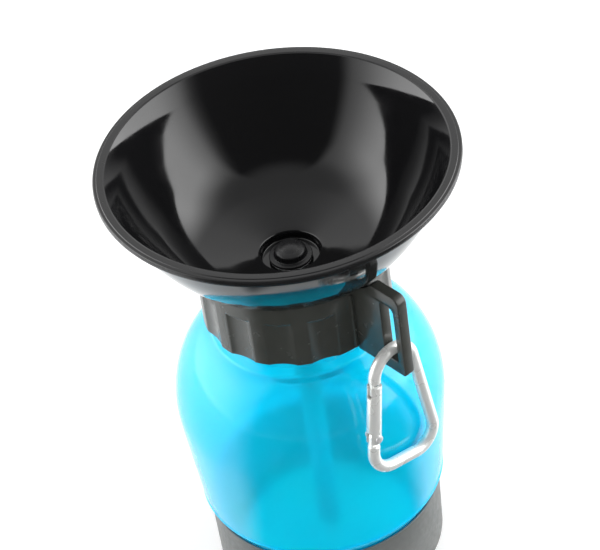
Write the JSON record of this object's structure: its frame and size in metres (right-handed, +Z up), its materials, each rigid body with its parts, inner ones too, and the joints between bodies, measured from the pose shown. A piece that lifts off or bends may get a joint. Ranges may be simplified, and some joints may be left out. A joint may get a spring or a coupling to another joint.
{
  "type": "dog travel water bottle",
  "caption": "Squeeze water bottle in a base ring, with a wide drinking bowl screwed on its neck by a fluted collar that carries a carabiner.",
  "frame": {"origin": "centre of the base ring's underside, on the surface it stands on", "axes": "+Z up along the bottle's axis, +X towards the collar's lug and carabiner at rest"},
  "size_m": [0.145, 0.145, 0.207],
  "materials": {
    "blue_squeeze_plastic": "translucent cyan, smooth and glossy",
    "grey_plastic": "dark grey, fine satin",
    "white_silicone": "milky silicone",
    "black_gloss_plastic": "gloss black",
    "milky_tube": "milky clear tube",
    "black_satin_plastic": "satin black",
    "black_rubber": "matt black rubber",
    "steel": "bright stainless steel",
    "dark_collar_plastic": "dark warm grey, smooth gloss",
    "aluminium_rod": "bright polished aluminium"
  },
  "bodies": {
    "bottle": {"bottle": "blue_squeeze_plastic", "base_ring": "grey_plastic"},
    "head": {"bowl": "black_gloss_plastic", "clamp_ring": "black_gloss_plastic", "neck_gasket": "white_silicone", "tube_holder": "black_gloss_plastic", "dip_tube": "milky_tube"},
    "collar": {"collar": "dark_collar_plastic"},
    "valve": {"valve_knob": "black_satin_plastic", "valve_seal": "white_silicone", "stem_ring": "black_rubber", "stem_clip": "steel"},
    "carabiner": {"carabiner_frame": "aluminium_rod", "hinge_rivet": "steel"},
    "gate": {"carabiner_gate": "aluminium_rod", "nose_pin": "steel", "gate_spring": "steel"}
  },
  "joints": [
    {"name": "head_rise", "type": "slide", "parent": "bottle", "child": "head", "axis": [0, 0, 1], "range_m": [0, 0.00626]},
    {"name": "collar_turn", "type": "hinge", "parent": "head", "child": "collar", "pos_m": [0, 0, 0.13243], "axis": [0, 0, 1], "range_deg": [0, 450]},
    {"name": "valve_lift", "type": "slide", "parent": "head", "child": "valve", "axis": [0, 0, 1], "range_m": [0, 0.005]},
    {"name": "carabiner_swing", "type": "hinge", "parent": "collar", "child": "carabiner", "pos_m": [0.0572, 0, 0.14117], "axis": [0, -1, 0], "range_deg": [0, 135]},
    {"name": "gate_open", "type": "hinge", "parent": "carabiner", "child": "gate", "pos_m": [0.05817, -0.0168, 0.10538], "axis": [-0.9996, 0, -0.027], "range_deg": [0, 24], "stiffness_Nm_per_rad": 0.02, "springref_deg": -34.38}
  ],
  "couplings": [
    {"joint": "head_rise", "follows": "collar_turn", "m_per_rad": 0.00079577}
  ]
}
